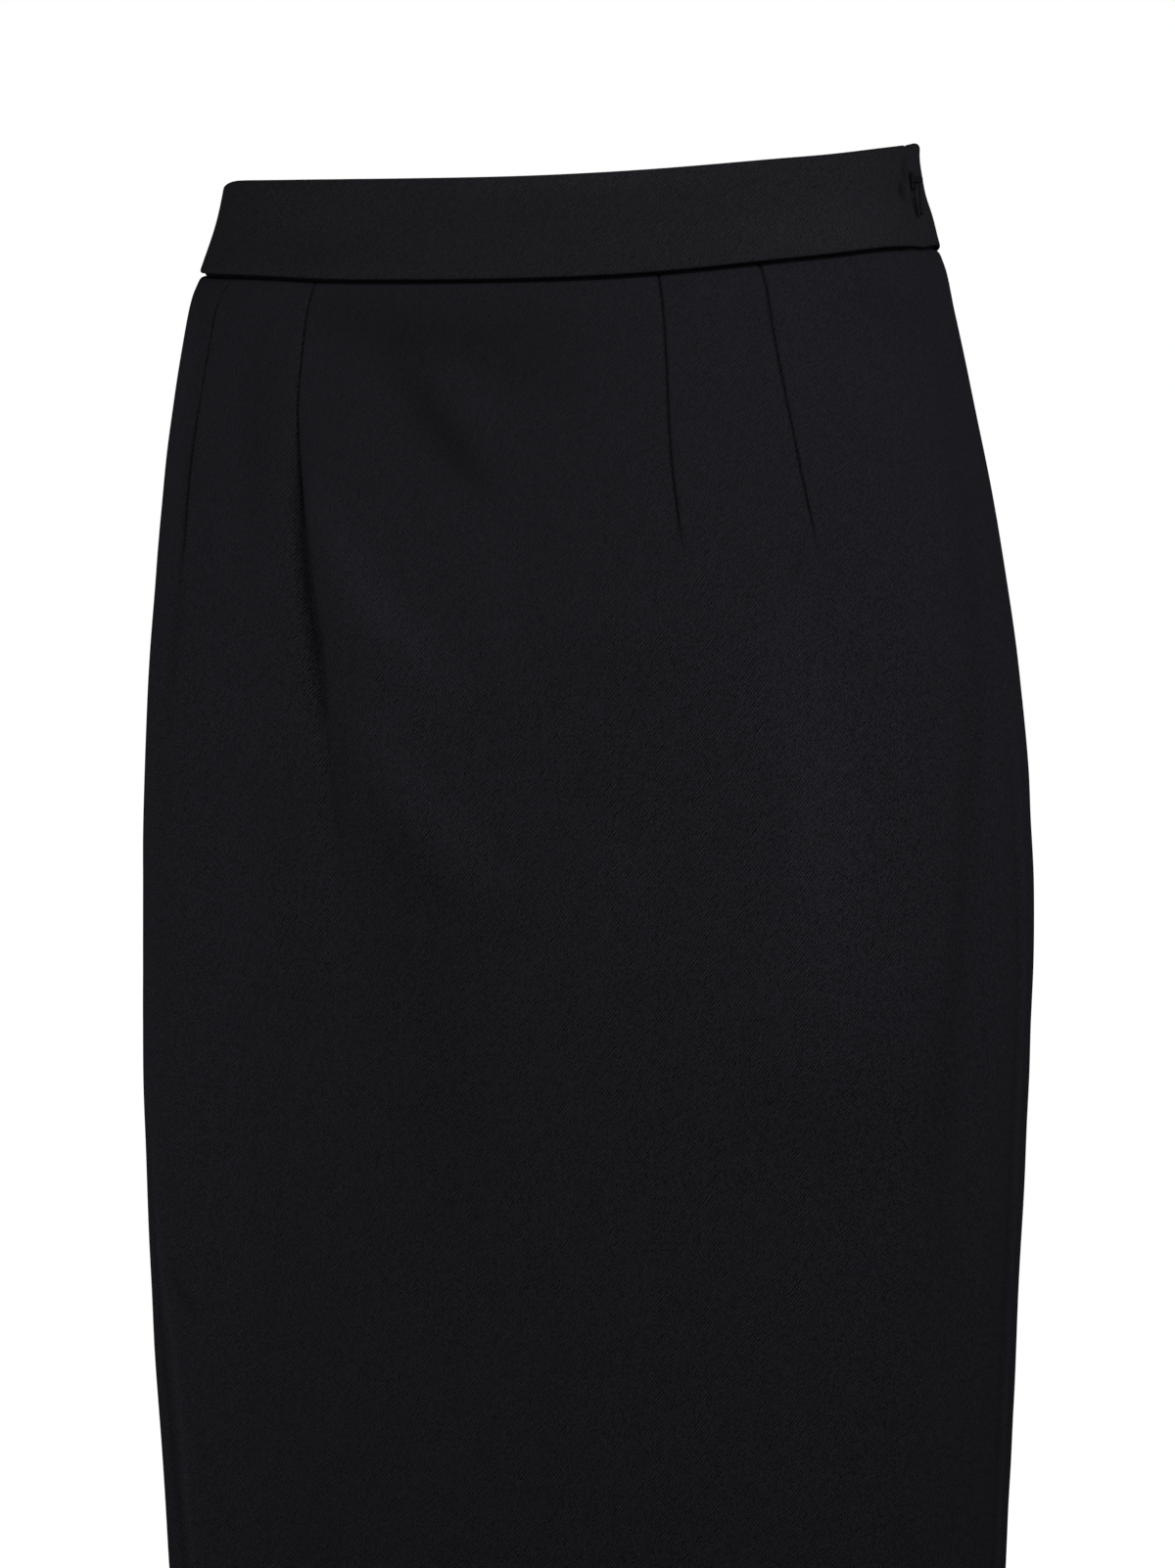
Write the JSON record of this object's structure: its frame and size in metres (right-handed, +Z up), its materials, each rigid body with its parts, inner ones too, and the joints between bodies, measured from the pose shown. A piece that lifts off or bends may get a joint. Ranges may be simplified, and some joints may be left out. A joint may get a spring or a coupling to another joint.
{
  "type": "pencil skirt, worn hollow form with no wearer, with waistband and concealed side zip",
  "caption": "Knee-length fitted skirt in black twill, with a shaped waistband, waist darts, a side zip and a lapped back vent.",
  "frame": {"origin": "middle of the waist opening, at half the waistband's height at the side seams, where the wearer's waist holds the skirt", "axes": "+Z up, -Y the front, +X the wearer's left, where the zip is"},
  "size_m": [0.3433, 0.253, 0.6628],
  "materials": {
    "twill": "black wool twill, matt with a faint cool sheen",
    "tape": "black woven zip tape",
    "metal": "black enamelled metal, satin"
  },
  "bodies": {
    "skirt": {"front": "twill", "back_left": "twill", "back_right": "twill", "waistband": "twill", "zip_tape": "tape", "zip_slider": "metal", "hook": "metal", "eye": "metal"},
    "pull": {"zip_pull": "metal"}
  },
  "joints": [
    {"name": "pull_swing", "type": "hinge", "parent": "skirt", "child": "pull", "pos_m": [0.13406, 0, 0.00474], "axis": [0, -1, 0], "range_deg": [0, 170]}
  ]
}
